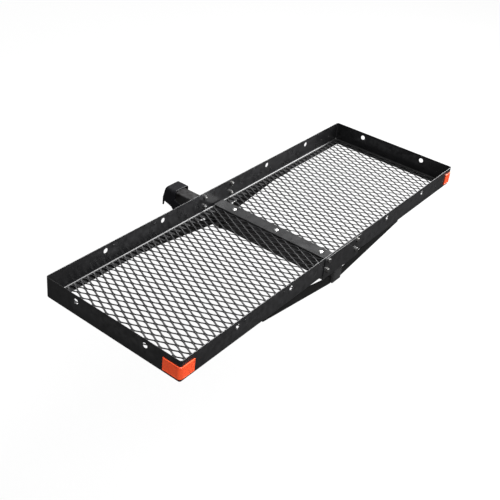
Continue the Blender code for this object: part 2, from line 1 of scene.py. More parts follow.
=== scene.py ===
"""Looks of the hitch cargo carrier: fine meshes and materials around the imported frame.

Metres, +Z up, in the frame's own axes: +Y points to the vehicle and X runs along the tray.
"""

import math

import bmesh
import bpy
from mathutils import Matrix, Vector


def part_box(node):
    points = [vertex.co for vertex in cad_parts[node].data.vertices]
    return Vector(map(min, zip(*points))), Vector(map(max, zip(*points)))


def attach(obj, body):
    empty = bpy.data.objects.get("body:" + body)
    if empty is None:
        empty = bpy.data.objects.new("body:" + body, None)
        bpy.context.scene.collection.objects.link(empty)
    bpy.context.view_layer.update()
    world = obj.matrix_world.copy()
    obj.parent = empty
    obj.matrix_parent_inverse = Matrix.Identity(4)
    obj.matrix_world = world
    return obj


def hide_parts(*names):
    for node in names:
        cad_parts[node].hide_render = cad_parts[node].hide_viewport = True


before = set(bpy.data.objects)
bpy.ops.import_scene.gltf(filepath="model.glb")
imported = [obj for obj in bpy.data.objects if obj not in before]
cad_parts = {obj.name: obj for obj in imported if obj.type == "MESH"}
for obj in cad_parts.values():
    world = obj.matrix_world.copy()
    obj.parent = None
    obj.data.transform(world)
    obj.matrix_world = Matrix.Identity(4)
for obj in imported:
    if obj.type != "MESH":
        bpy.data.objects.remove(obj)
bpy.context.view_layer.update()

TRAY_BODY = "tray"
HITCH_BODY = "hitch"
X, Y, Z = range(3)

# ---------------------------------------------------------------- places read from the frame
def joined_box(*nodes):
    boxes = [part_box(node) for node in nodes]
    low = Vector([min(box[0][axis] for box in boxes) for axis in range(3)])
    high = Vector([max(box[1][axis] for box in boxes) for axis in range(3)])
    return low, high


TRAY_LOW, TRAY_HIGH = joined_box("left_tray_frame", "right_tray_frame")
TRAY_MIDDLE = (TRAY_LOW + TRAY_HIGH) / 2
HALF_LENGTH = TRAY_HIGH.x
REAR_Y, FRONT_Y = TRAY_LOW.y, TRAY_HIGH.y
BASE_Z, RIM_Z = TRAY_LOW.z, TRAY_HIGH.z
SIDES = (("left", -1), ("right", 1))
LONG_WALLS = (("rear", REAR_Y, -1), ("front", FRONT_Y, 1))

# ---------------------------------------------------------------- dimensions of the details
GAP = 0.0003                 # clearance that the frame leaves between pieces
SHEET = 0.002                # tray sheet thickness
FLANGE = 0.032               # under the floor, from the wall's outer face inward
BEND_OUTSIDE = 0.007         # outer radius of the wall-to-flange bend
RIM_CROWN = 0.0005           # how far the wall's top edge is crowned
CORNER_RADIUS = 0.008
TIE_DOWN_RADIUS = 0.0085
TIE_DOWN_HEIGHT = 0.052      # above the tray's underside
LONG_WALL_TIE_DOWNS = (0.280, 0.532)
END_WALL_TIE_DOWNS = (-0.130, 0.130)
DRILL_LENGTH = 0.012         # long enough to pass through a wall

RIVET_RADIUS = 0.0034
RIVET_HEIGHT = 0.0014
RIVET_ROOT = SHEET * 0.4     # how deep a rivet's shank reaches into the sheet
RIVET_PLACES = ((-0.500, 0.056), (-0.320, 0.056), (0.650, 0.030), (0.702, 0.030))   # x, height

STRIP_CORNER = 0.002
SPLICE_CORNER = 0.005

STRAND_SPACING = 0.0254 / 2  # expanded metal: half its opening's pitch along X
BOND_PITCH = 0.0508 / 2      # and half its pitch along Y
STRAND_WIDTH = 0.0063
STRAND_THICKNESS = 0.0025
STRAND_TILT = math.radians(-20)
STRAND_EASE = 0.05           # how much a strand's run curves into its bonds
BOND_HALF = 0.0030           # half length of the solid bond where strands meet
MESH_INSET = 0.004           # strand ends to the panel's long edges

# Bolts and nuts: the shank's radius, half the width over the flats, the head's height, the pitch.
M8 = {"shank": 0.004, "flats": 0.0065, "head": 0.0053, "pitch": 0.00125}
M10 = {"shank": 0.005, "flats": 0.0080, "head": 0.0064, "pitch": 0.0015}
M12 = {"shank": 0.006, "flats": 0.0090, "head": 0.0075, "pitch": 0.00175}
HEX_CHAMFER = 0.93           # radius of a hex end's flat face, as a share of the flats
WASHER_FACE = 0.97           # radius of the ring under a hex head, likewise
NUT_LEAD = 0.0006            # chamfer of a nut's bore
DOME_RADIUS = 0.0085         # round heads on the centre strip
DOME_HEIGHT = 0.0042
ROUND = 48                   # facets round a bolt, hole or rivet
THREAD_SHOWN = 0.0075        # length of modelled thread at a bolt's end
SPLICE_BOLTS = 4             # on each long wall
FLOOR_BOLTS = 3

TUBE_WALL = 0.003
TUBE_CORNER = 0.005
TUBE_LIP = 0.0005            # broken edge at the tube's ends
CAP_FLANGE = 0.003           # thickness of the plug's face
CAP_CROWN = ((0.30, 0.0), (0.60, 0.0002), (0.80, 0.0006), (0.90, 0.0012), (0.96, 0.0019),
             (1.0, 0.0026))  # share of the half width, drop of the face there
CAP_RIBS = 4
CAP_RIB_DEPTH = 0.0008
CAP_NOSE = 0.0015            # how much the plug narrows at its end
PLUG_CORNER = 0.0012

BRACKET_SHEET = 0.005
BRACKET_BEND = 0.012
BLANK_LENGTH = 0.2           # channel that the bracket is cut from
OVERCUT = 0.01               # how far that channel reaches past the bracket's lowest point
PIVOT_BORE = M12["shank"] + 0.0005       # radius, with room to turn
LUG_RADIUS = 0.014
LUG_START = 110              # degrees round the lug where its upper edge leaves it
WEB_END = -0.045             # how far the web reaches over the tube
CHEEK_SHOULDER = 0.0         # height where the web's edge turns off along the lug
CHEEK_FOOT = ((-0.037, -0.042), (-0.030, -0.034), (0.004, -0.0235))   # y, z
EAR = ((0.007, -0.042), (0.012, -0.042), (0.012, -0.010))

LENS_BORDER = 0.0030         # plain rim of a reflector
LENS_CHAMFER = 0.0008        # bevel round its outer edge
LENS_STEP = 0.0004           # run of the slope from the rim down to the prisms
LENS_RECESS = 0.0005
LENS_TURNS = range(-75, 0, 15)   # degrees round the tray's corner
PRISM_PITCH = 0.0024
PRISM_HEIGHT = 0.0004

SLEEVE_WELD = 0.0026         # radius of the beads along the pivot sleeve
PLATE_WELD = 0.0022          # and of those between bracket and hitch plate
WELD_FACETS = 12
WELD_RIPPLE = 0.9            # length of a ripple, as a share of the bead's radius
RIPPLE_DEPTH = 0.10          # likewise

MERGE_DISTANCE = 0.00001     # mesh points closer than this become one
SHARP_ANGLE = math.radians(40)

BACKDROP = 0.93              # brightness of the floor and backdrop, as the camera sees them
SKY_LOW = 0.12               # brightness at and below the horizon, as reflections see it
SKY_HIGH = 0.40              # and overhead
SKY_RISE = 0.6               # Z of the direction at which it reaches SKY_HIGH
FLOOR_Z = -0.45              # about as far under a hitch as the ground is
FLOOR_HALF = 9.0

CAMERA_PLACE = Vector((-1.9818, -1.2385, 1.4223))    # from the tray's middle
CAMERA_AIM = Vector((-0.1354, 0.1112, 0.0))          # likewise
CAMERA_ROLL = math.radians(5.63)
CAMERA_SENSOR = 36.0
CAMERA_LENS = 59.68
CAMERA_SHIFT = (0.05, -0.05)


# ---------------------------------------------------------------- node helpers
def grey(level):
    """An opaque grey, as a colour socket takes it."""
    return (level, level, level, 1.0)


class Nodes:
    """A material's node tree, with short calls for the nodes that the finishes share."""

    def __init__(self, name):
        self.material = bpy.data.materials.new(name)
        self.material.use_nodes = True
        self.tree = self.material.node_tree
        self.shader = self.tree.nodes["Principled BSDF"]
        self.place = self.tree.nodes.new("ShaderNodeTexCoord").outputs["Object"]

    def link(self, source, target):
        self.tree.links.new(source, target)

    def noise(self, scale, detail=3.0, roughness=0.55):
        node = self.tree.nodes.new("ShaderNodeTexNoise")
        node.inputs["Scale"].default_value = scale
        node.inputs["Detail"].default_value = detail
        node.inputs["Roughness"].default_value = roughness
        self.link(self.place, node.inputs["Vector"])
        return node.outputs["Fac"]

    def cells(self, scale):
        node = self.tree.nodes.new("ShaderNodeTexVoronoi")
        node.inputs["Scale"].default_value = scale
        self.link(self.place, node.inputs["Vector"])
        return node.outputs["Distance"]

    def to_range(self, value, low, high, from_low=0.3, from_high=0.7):
        """Takes a value, by default a noise's usual spread, to the range from low to high."""
        node = self.tree.nodes.new("ShaderNodeMapRange")
        node.inputs["From Min"].default_value = from_low
        node.inputs["From Max"].default_value = from_high
        node.inputs["To Min"].default_value = low
        node.inputs["To Max"].default_value = high
        self.link(value, node.inputs["Value"])
        return node.outputs["Result"]

    def maths(self, operation, first, second):
        node = self.tree.nodes.new("ShaderNodeMath")
        node.operation = operation
        for socket, value in zip(node.inputs, (first, second)):
            if isinstance(value, (int, float)):
                socket.default_value = value
            else:
                self.link(value, socket)
        return node.outputs["Value"]

    def mix(self, factor, first, second):
        """A colour between two colours or colour sockets."""
        node = self.tree.nodes.new("ShaderNodeMix")
        node.data_type = "RGBA"
        self.link(factor, node.inputs["Factor"])
        colour_inputs = [socket for socket in node.inputs if socket.type == "RGBA"]
        for socket, value in zip(colour_inputs, (first, second)):
            if isinstance(value, tuple):
                socket.default_value = (*value, 1.0)
            else:
                self.link(value, socket)
        return next(socket for socket in node.outputs if socket.type == "RGBA")

    def upward(self):
        """1 on faces that look up, in the piece's own axes, and 0 on the others."""
        coordinates = self.tree.nodes.new("ShaderNodeTexCoord")
        split = self.tree.nodes.new("ShaderNodeSeparateXYZ")
        self.link(coordinates.outputs["Normal"], split.inputs["Vector"])
        return self.to_range(split.outputs["Z"], 0.0, 1.0, from_low=0.55, from_high=0.95)

    def edges(self):
        """1 on outer edges, where paint is thinnest and handling wears it; the lighter colour laid
        there is also a painted edge highlight.
        """
        geometry = self.tree.nodes.new("ShaderNodeNewGeometry")
        return self.to_range(geometry.outputs["Pointiness"], 0.0, 1.0, from_low=0.52, from_high=0.60)

    def bump(self, height, strength, distance):
        node = self.tree.nodes.new("ShaderNodeBump")
        node.inputs["Strength"].default_value = strength
        node.inputs["Distance"].default_value = distance
        self.link(height, node.inputs["Height"])
        return node.outputs["Normal"]

    def shade(self, **values):
        """Gives the shader its values: a number is set on its socket, a node's output is linked."""
        names = {"colour": "Base Color", "roughness": "Roughness", "metallic": "Metallic",
                 "normal": "Normal", "coat": "Coat Weight", "coat_roughness": "Coat Roughness",
                 "specular": "Specular IOR Level", "glow": "Emission Strength"}
        for key, value in values.items():
            socket = self.shader.inputs[names[key]]
            if isinstance(value, (int, float)):
                socket.default_value = value
            else:
                self.link(value, socket)


# ---------------------------------------------------------------- finishes
def powder_coat(name, dark, light, roughness, specular=0.5, wear_and_highlight=0.5):
    """Baked black paint: fine orange peel, cloudy gloss, a trace of dust, and worn edges whose
    lighter bare metal is also a painted edge highlight.
    """
    dust_colour = (0.022, 0.022, 0.021)
    # lighter colour of the worn edges: real wear, and partly a painted edge highlight
    bare_metal_highlight = (0.12, 0.12, 0.125)
    nodes = Nodes(name)
    cloud = nodes.to_range(nodes.noise(scale=9.0), 0.0, 1.0)
    speckle = nodes.to_range(nodes.noise(scale=420.0, detail=2.0), 0.0, 0.25)
    dust = nodes.maths("MULTIPLY", nodes.upward(), speckle)
    # worn edges: real wear, and the lighter metal there is also a painted highlight along the edges
    worn_edge_highlight = nodes.maths("MULTIPLY", nodes.edges(), nodes.to_range(nodes.noise(scale=60.0), 0.0, wear_and_highlight))
    colour = nodes.mix(cloud, dark, light)
    colour = nodes.mix(dust, colour, dust_colour)
    colour = nodes.mix(worn_edge_highlight, colour, bare_metal_highlight)
    gloss = nodes.to_range(nodes.noise(scale=36.0), roughness - 0.05, roughness + 0.07)
    dusty_gloss = nodes.maths("ADD", gloss, nodes.maths("MULTIPLY", dust, 0.4))
    peel = nodes.noise(scale=760.0, detail=2.0, roughness=0.4)
    nodes.shade(colour=colour, roughness=dusty_gloss, specular=specular,
                normal=nodes.bump(peel, strength=0.35, distance=0.00012))
    return nodes.material


def plated(name, bright, dull, roughness):
    """Zinc plate: faint crystalline patches, a yellow stain here and there and turning marks."""
    stain_colour = (0.60, 0.54, 0.40)
    nodes = Nodes(name)
    patches = nodes.to_range(nodes.cells(scale=900.0), 0.0, 1.0, from_low=0.1, from_high=0.6)
    stain = nodes.to_range(nodes.noise(scale=140.0), 0.0, 0.35, from_low=0.5, from_high=0.8)
    colour = nodes.mix(patches, bright, dull)
    colour = nodes.mix(stain, colour, stain_colour)
    gloss = nodes.to_range(nodes.noise(scale=500.0), roughness - 0.06, roughness + 0.10)
    marks = nodes.noise(scale=1400.0, detail=2.0)
    nodes.shade(colour=colour, roughness=gloss, metallic=1.0,
                normal=nodes.bump(marks, strength=0.18, distance=0.0001))
    return nodes.material


def reflector_plastic(name):
    """Moulded acrylic: orange-red that shifts a little from place to place, under a thin gloss."""
    orange = (0.86, 0.075, 0.022)
    light_orange = (0.92, 0.12, 0.036)
    deep_orange = (0.80, 0.050, 0.016)
    nodes = Nodes(name)
    grain = nodes.to_range(nodes.noise(scale=380.0, detail=1.0), 0.0, 1.0)
    depth = nodes.to_range(nodes.noise(scale=22.0), 0.0, 0.25)
    colour = nodes.mix(grain, orange, light_orange)
    colour = nodes.mix(depth, colour, deep_orange)
    gloss = nodes.to_range(nodes.noise(scale=120.0), 0.30, 0.44)
    nodes.shade(colour=colour, roughness=gloss, coat=0.15, coat_roughness=0.12, specular=0.35,
                normal=nodes.bump(nodes.noise(scale=900.0), strength=0.10, distance=0.00008))
    return nodes.material


def moulded(name, dark, light, roughness, grain_scale, grain_depth):
    """Moulded plastic or rubber with a fine grained skin."""
    nodes = Nodes(name)
    cloud = nodes.to_range(nodes.noise(scale=30.0), 0.0, 1.0)
    gloss = nodes.to_range(nodes.noise(scale=160.0), roughness - 0.06, roughness + 0.08)
    grain = nodes.cells(grain_scale)
    nodes.shade(colour=nodes.mix(cloud, dark, light), roughness=gloss,
                normal=nodes.bump(grain, strength=0.4, distance=grain_depth))
    return nodes.material


FINISHES = {
    "frame_paint": powder_coat(
        "frame_paint_look", dark=(0.0035, 0.0035, 0.004), light=(0.006, 0.006, 0.0065),
        roughness=0.30),
    "floor_paint": powder_coat(
        "floor_paint_look", dark=(0.002, 0.002, 0.0025), light=(0.004, 0.004, 0.0045),
        roughness=0.36, specular=0.25, wear_and_highlight=0.2),
    "strip_paint": powder_coat(
        "strip_paint_look", dark=(0.005, 0.005, 0.0055), light=(0.008, 0.008, 0.0085),
        roughness=0.26, specular=0.4),
    "tube_paint": powder_coat(
        "tube_paint_look", dark=(0.006, 0.0055, 0.005), light=(0.010, 0.009, 0.008),
        roughness=0.36, specular=0.4),
    # painted shade: the struts wear the frame's black paint; this darker, duller copy paints the
    # shade they sit in under the tray
    "painted_shade_on_struts": powder_coat(
        "painted_shade_on_struts_look", dark=(0.003, 0.003, 0.003), light=(0.005, 0.005, 0.005),
        roughness=0.42, specular=0.3, wear_and_highlight=0.0),
    "bracket_paint": powder_coat(
        "bracket_paint_look", dark=(0.003, 0.003, 0.004), light=(0.005, 0.005, 0.007),
        roughness=0.26, specular=0.2),
    "zinc": plated("zinc_look", bright=(0.82, 0.82, 0.80), dull=(0.62, 0.62, 0.62), roughness=0.24),
    "dull_zinc": plated(
        "dull_zinc_look", bright=(0.30, 0.30, 0.30), dull=(0.18, 0.18, 0.18), roughness=0.34),
    "cap_plastic": moulded(
        "cap_plastic_look", dark=(0.018, 0.018, 0.018), light=(0.026, 0.026, 0.026),
        roughness=0.50, grain_scale=1500.0, grain_depth=0.00012),
    "pad_rubber": moulded(
        "pad_rubber_look", dark=(0.010, 0.010, 0.010), light=(0.022, 0.022, 0.022),
        roughness=0.78, grain_scale=900.0, grain_depth=0.0003),
    "reflector_amber": reflector_plastic("reflector_look"),
}


# ---------------------------------------------------------------- mesh helpers
def arc(centre, radius, start, end, steps):
    """Points on an arc, angles in degrees."""
    angles = [math.radians(start + (end - start) * step / steps) for step in range(steps + 1)]
    return [(centre[0] + radius * math.cos(a), centre[1] + radius * math.sin(a)) for a in angles]


def turn_to(axis):
    """The rotation that takes +Z to an axis."""
    return Vector((0, 0, 1)).rotation_difference(Vector(axis)).to_matrix().to_4x4()


def add_rings(bm, rings, matrix=Matrix.Identity(4), closed_loop=False):
    """Skins a stack of rings; a closed loop joins the last ring to the first."""
    rows = [[bm.verts.new(matrix @ Vector(point)) for point in ring] for ring in rings]
    count = len(rows[0])
    pairs = list(zip(rows, rows[1:]))
    if closed_loop:
        pairs.append((rows[-1], rows[0]))
    for lower, upper in pairs:
        for index in range(count):
            after = (index + 1) % count
            bm.faces.new((lower[index], lower[after], upper[after], upper[index]))
    if not closed_loop:
        bm.faces.new(rows[0][::-1])
        bm.faces.new(rows[-1])


def add_plate(bm, outline, thickness, matrix):
    """An outline in the matrix's XY plane, thickened both ways from it."""
    levels = (-thickness / 2, thickness / 2)
    add_rings(bm, [[(u, v, level) for u, v in outline] for level in levels], matrix)


def facing_x(x):
    """Own X, Y -> carrier Y, Z, with the normal along X."""
    return Matrix(((0, 0, 1, x), (1, 0, 0, 0), (0, 1, 0, 0), (0, 0, 0, 1)))


def facing_y(y):
    """Own X, Y -> carrier X, Z, with the normal along -Y."""
    return Matrix(((1, 0, 0, 0), (0, 0, -1, y), (0, 1, 0, 0), (0, 0, 0, 1)))


def facing_z(z):
    """Own X, Y -> carrier X, Y, with the normal along Z."""
    return Matrix.Translation((0, 0, z))


def rounded_rectangle(half_u, half_v, radius, steps=6, centre=(0.0, 0.0)):
    """A rectangle with round corners, from its lower right corner round."""
    u, v = half_u - radius, half_v - radius
    points = []
    for sign_u, sign_v, start in ((1, -1, 270), (1, 1, 0), (-1, 1, 90), (-1, -1, 180)):
        points += arc((centre[0] + sign_u * u, centre[1] + sign_v * v), radius,
                      start, start + 90, steps)
    return points


def bare_object(name, bm):
    bmesh.ops.recalc_face_normals(bm, faces=bm.faces)
    mesh = bpy.data.meshes.new(name)
    bm.to_mesh(mesh)
    bm.free()
    piece = bpy.data.objects.new(name, mesh)
    bpy.context.scene.collection.objects.link(piece)
    return piece


def apply_modifiers(piece):
    bpy.context.view_layer.update()
    graph = bpy.context.evaluated_depsgraph_get()
    mesh = bpy.data.meshes.new_from_object(piece.evaluated_get(graph))
    piece.modifiers.clear()
    piece.data = mesh


def combine(piece, other, operation="DIFFERENCE"):
    """Cuts a piece with a helper, or keeps their overlap, and removes the helper."""
    modifier = piece.modifiers.new("cut", "BOOLEAN")
    modifier.operation = operation
    modifier.object = other
    modifier.solver = "EXACT"
    apply_modifiers(piece)
    bpy.data.objects.remove(other, do_unlink=True)


def soften(piece, width, segments=3):
    """Rounds a piece's sharp edges and keeps its flat faces flat."""
    bevel = piece.modifiers.new("soft_edges", "BEVEL")
    bevel.width = width
    bevel.segments = segments
    bevel.limit_method = "ANGLE"
    bevel.angle_limit = SHARP_ANGLE
    bevel.use_clamp_overlap = True
    bevel.miter_outer = "MITER_ARC"
    normals = piece.modifiers.new("flat_faces", "WEIGHTED_NORMAL")
    normals.keep_sharp = True


def dress(piece, finish, body, nodes=(), edge=None, segments=3, smooth_angle=35):
    """Gives a new piece its finish, soft edges and body, and hides the imported nodes it stands for.
    """
    piece.data.materials.clear()
    piece.data.materials.append(FINISHES[finish])
    piece.data.shade_smooth()
    if edge:
        soften(piece, edge, segments)
        apply_modifiers(piece)
    else:
        piece.data.set_sharp_from_angle(angle=math.radians(smooth_angle))
    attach(piece, body)
    if nodes:
        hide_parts(*nodes)


def dress_node(name, finish, edge):
    """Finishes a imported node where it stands: material and soft edges only."""
    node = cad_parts[name]
    node.data.materials.clear()
    node.data.materials.append(FINISHES[finish])
    soften(node, edge)


# ---------------------------------------------------------------- tray halves
def tray_section():
    """The half's closed sheet section as (inset from the outer face, height)."""
    lip = SHEET / 2
    bend_centre = (BEND_OUTSIDE, BEND_OUTSIDE)
    wall_height = RIM_Z - BASE_Z
    points = arc((FLANGE - lip, lip), lip, 270, 450, 6)
    points += arc(bend_centre, BEND_OUTSIDE - SHEET, 270, 180, 8)
    points += [(x, wall_height - RIM_CROWN + y * RIM_CROWN / lip)
               for x, y in arc((lip, 0.0), lip, 0, 180, 10)]
    points += arc(bend_centre, BEND_OUTSIDE, 180, 270, 8)
    return points


def tray_path(inset, side):
    """Plan of one half's three walls at an inset, from its inner end round to the other."""
    half_width = (FRONT_Y - REAR_Y) / 2
    radius = max(CORNER_RADIUS - inset, 0.0)
    edge = max(CORNER_RADIUS, inset)
    centre_x, centre_y = HALF_LENGTH - edge, half_width - edge
    rear = [(x, -y) for x, y in arc((centre_x, centre_y), radius, 90, 0, 8)]
    front = arc((centre_x, centre_y), radius, 0, 90, 8)
    points = [(GAP / 2, inset - half_width)] + rear + front + [(GAP / 2, half_width - inset)]
    return [(side * x, TRAY_MIDDLE.y + y) for x, y in points]


def add_drill(bm, centre, axis, radius, length):
    """A closed cylinder that a hole is cut with."""
    matrix = Matrix.Translation(centre) @ turn_to(axis)
    bmesh.ops.create_cone(bm, cap_ends=True, segments=ROUND, radius1=radius, radius2=radius,
                          depth=length, matrix=matrix)


def tie_down_drills(side):
    """The cylinders that cut the tie-down holes in one half's three walls."""
    bm = bmesh.new()
    z = BASE_Z + TIE_DOWN_HEIGHT
    for _, wall_y, _ in LONG_WALLS:
        for x in LONG_WALL_TIE_DOWNS:
            add_drill(bm, (side * x, wall_y, z), (0, 1, 0), TIE_DOWN_RADIUS, DRILL_LENGTH)
    for y in END_WALL_TIE_DOWNS:
        add_drill(bm, (side * HALF_LENGTH, TRAY_MIDDLE.y + y, z), (1, 0, 0), TIE_DOWN_RADIUS,
                  DRILL_LENGTH)
    return bare_object("drills", bm)


def make_tray_half(side_name, side):
    """One pressed sheet round three sides, with a flange under the floor and tie-down holes."""
    bm = bmesh.new()
    rows = []
    for inset, height in tray_section():
        rows.append([bm.verts.new((x, y, BASE_Z + height)) for x, y in tray_path(inset, side)])
    for lower, upper in zip(rows, rows[1:] + rows[:1]):
        for index in range(len(lower) - 1):
            bm.faces.new((lower[index], lower[index + 1], upper[index + 1], upper[index]))
    bm.faces.new([row[0] for row in rows])
    bm.faces.new([row[-1] for row in rows][::-1])
    bmesh.ops.remove_doubles(bm, verts=bm.verts, dist=MERGE_DISTANCE)
    tray = bare_object(side_name + "_tray_sheet", bm)
    combine(tray, tie_down_drills(side))
    dress(tray, "frame_paint", TRAY_BODY, [side_name + "_tray_frame"], edge=0.0004, segments=2)


# ---------------------------------------------------------------- expanded-metal floor
def strand_stations(half):
    """Places along Y, from the panel's middle, where a strand's section is set."""
    run = BOND_PITCH - 2 * BOND_HALF
    offsets = [-BOND_HALF, BOND_HALF] + [BOND_HALF + run * share for share in (0.15, 0.5, 0.85)]
    count = int(half / BOND_PITCH) + 1
    places = [index * BOND_PITCH + offset
              for index in range(-count, count + 1) for offset in offsets]
    closest_to_end = 0.0005
    inside = [place for place in places if abs(place) < half - closest_to_end]
    return sorted(inside + [-half, half])


def strand_state(place, column):
    """Where a strand is at a place: (share of the way to its right bond, side it is bonded on)."""
    bond = round(place / BOND_PITCH)
    left_here = (bond + column) % 2 == 0
    beyond = abs(place - bond * BOND_PITCH) - BOND_HALF
    if beyond <= 1e-6:
        return (0.0, "left") if left_here else (1.0, "right")
    share = beyond / (BOND_PITCH - 2 * BOND_HALF)
    share -= STRAND_EASE * math.sin(2 * math.pi * share)
    return (share if left_here else 1.0 - share), None


def strand_section(share, column):
    """A strand's leaning section as (x, z), at a share of the way to its right bond."""
    across = Vector((math.cos(STRAND_TILT), math.sin(STRAND_TILT))) * STRAND_WIDTH / 2
    through = Vector((-math.sin(STRAND_TILT), math.cos(STRAND_TILT))) * STRAND_THICKNESS / 2
    left = Vector((column * STRAND_SPACING, 0.0)) + across
    right = Vector(((column + 1) * STRAND_SPACING, 0.0)) - across
    centre = left.lerp(right, share)
    return [centre - across - through, centre + across - through,
            centre + across + through, centre - across + through]


def add_strand(bm, column, stations, middle_y, middle_z, free_sides):
    """One zigzag strand. Bonded to a neighbour it has no face on that side, so the two join."""
    rows = []
    bonds = []
    for place in stations:
        share, bonded = strand_state(place, column)
        rows.append([bm.verts.new((x, middle_y + place, middle_z + z))
                     for x, z in strand_section(share, column)])
        bonds.append(bonded)
    for index in range(len(rows) - 1):
        here, there = rows[index], rows[index + 1]
        joined = bonds[index] if bonds[index] == bonds[index + 1] else None
        for edge, facing in enumerate((None, "right", None, "left")):
            if facing and facing == joined and facing not in free_sides:
                continue
            after = (edge + 1) % 4
            bm.faces.new((here[edge], here[after], there[after], there[edge]))
    bm.faces.new(rows[0][::-1])
    bm.faces.new(rows[-1])


def make_floor_mesh(side_name):
    """Raised expanded metal: strands zigzag along Y and are bonded to their neighbours, every
    strand and bond leaning the same way."""
    node = side_name + "_mesh_floor"
    low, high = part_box(node)
    middle_y, middle_z = (low.y + high.y) / 2, (low.z + high.z) / 2
    first = math.ceil(low.x / STRAND_SPACING)
    last = math.floor(high.x / STRAND_SPACING) - 1
    stations = strand_stations((high.y - low.y) / 2 - MESH_INSET)
    bm = bmesh.new()
    for column in range(first, last + 1):
        free_sides = [name for name, end in (("left", first), ("right", last)) if column == end]
        add_strand(bm, column, stations, middle_y, middle_z, free_sides)
    bmesh.ops.remove_doubles(bm, verts=bm.verts, dist=MERGE_DISTANCE)
    floor = bare_object(side_name + "_expanded_metal", bm)
    dress(floor, "floor_paint", TRAY_BODY, [node], edge=0.0003, segments=1)


def make_center_strip():
    """Flat steel bar over the joint between the two floors, with rolled edges."""
    low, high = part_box("center_strip")
    middle = (low + high) / 2
    outline = rounded_rectangle((high.x - low.x) / 2, (high.y - low.y) / 2, STRIP_CORNER, 4,
                                (middle.x, middle.y))
    bm = bmesh.new()
    add_plate(bm, outline, high.z - low.z, facing_z(middle.z))
    dress(bare_object("center_strip_bar", bm), "strip_paint", TRAY_BODY, ["center_strip"],
          edge=0.0009, segments=4)


# ---------------------------------------------------------------- bolts, nuts and rivets
def circle(radius, height):
    """A ring of points round the Z axis."""
    turns = [2 * math.pi * index / ROUND for index in range(ROUND)]
    return [(radius * math.cos(t), radius * math.sin(t), height) for t in turns]


def hexagon(flats, height, chamfer=0):
    """A hexagon's ring; chamfered, its corners lie along a 30 degree cone, up (1) or down (-1)."""
    cone_start = flats * 0.95
    ring = []
    for index in range(ROUND):
        turn = 2 * math.pi * index / ROUND
        from_flat = (turn % (math.pi / 3)) - math.pi / 6
        radius = flats / math.cos(from_flat)
        shift = chamfer * (radius - cone_start) * math.tan(math.pi / 6)
        ring.append((radius * math.cos(turn), radius * math.sin(turn), height + shift))
    return ring


def dome(radius, height, lowest, steps):
    """Rings of a dome over the plane z = 0, from near its top down to `lowest` degrees."""
    angles = [math.radians(90 - (90 - lowest) * step / steps) for step in range(1, steps + 1)]
    return [circle(radius * math.cos(a), height * math.sin(a)) for a in angles]


def thread_rings(size, start, end):
    """Rings of a right-hand thread that fades out at the bolt's chamfered end."""
    end_radius, end_depth = 0.86, 0.3        # as shares of the full thread's
    pitch = size["pitch"]
    depth = pitch * 0.5
    count = math.ceil((end - start) / (pitch / 6))
    rings = []
    for step in range(count + 1):
        height = start + (end - start) * step / count
        full = min(1.0, (end - height) / pitch)
        ring = []
        for index in range(ROUND):
            turn = index / ROUND
            wave = abs(2.0 * ((height / pitch - turn) % 1.0) - 1.0)
            crest = size["shank"] * (end_radius + (1.0 - end_radius) * full)
            radius = crest - depth * wave * (end_depth + (1.0 - end_depth) * full)
            ring.append((radius * math.cos(2 * math.pi * turn),
                         radius * math.sin(2 * math.pi * turn), height))
        rings.append(ring)
    return rings


def head_rings(size, style):
    """The head above the plane z = 0, whose shank goes along +Z."""
    if style == "dome":
        return dome(DOME_RADIUS, -DOME_HEIGHT, lowest=4, steps=10) + [circle(DOME_RADIUS, 0.0)]
    flats, head = size["flats"], size["head"]
    washer = 0.0005
    inner = flats * 0.60
    return [circle(inner, -head), circle(flats * HEX_CHAMFER, -head),
            hexagon(flats, -head, chamfer=1), hexagon(flats, -washer),
            circle(flats * WASHER_FACE, -washer), circle(flats * WASHER_FACE, 0.0)]


def make_bolt(node, axis, direction, size, style="hex", finish="dull_zinc", body=TRAY_BODY):
    """A bolt in its node's box: its head at one end and its shank along `direction`."""
    low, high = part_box(node)
    head = DOME_HEIGHT if style == "dome" else size["head"]
    seat = (low + high) / 2
    seat[axis] = (low[axis] if direction > 0 else high[axis]) + direction * head
    length = high[axis] - low[axis] - head
    heading = Vector((0, 0, 0))
    heading[axis] = direction
    rings = head_rings(size, style) + [circle(size["shank"], 0.0)]
    rings.append(circle(size["shank"], length - THREAD_SHOWN))
    rings += thread_rings(size, length - THREAD_SHOWN + size["pitch"] / 2, length)
    bm = bmesh.new()
    add_rings(bm, rings, Matrix.Translation(seat) @ turn_to(heading))
    dress(bare_object(node + "_turned", bm), finish, body, [node], smooth_angle=28)


def make_nut(node, axis, size, body=TRAY_BODY):
    """A chamfered hex nut in its node's box."""
    low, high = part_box(node)
    height = high[axis] - low[axis]
    heading = Vector((0, 0, 0))
    heading[axis] = 1.0
    middle = (low + high) / 2
    middle[axis] = low[axis]
    bore, flats = size["shank"] + GAP, size["flats"]
    rings = [circle(bore, NUT_LEAD), circle(bore + NUT_LEAD, 0.0), circle(flats * HEX_CHAMFER, 0.0),
             hexagon(flats, 0.0, chamfer=1), hexagon(flats, height, chamfer=-1),
             circle(flats * HEX_CHAMFER, height), circle(bore + NUT_LEAD, height),
             circle(bore, height - NUT_LEAD)]
    bm = bmesh.new()
    add_rings(bm, rings, Matrix.Translation(middle) @ turn_to(heading), closed_loop=True)
    dress(bare_object(node + "_turned", bm), "dull_zinc", body, [node], smooth_angle=28)


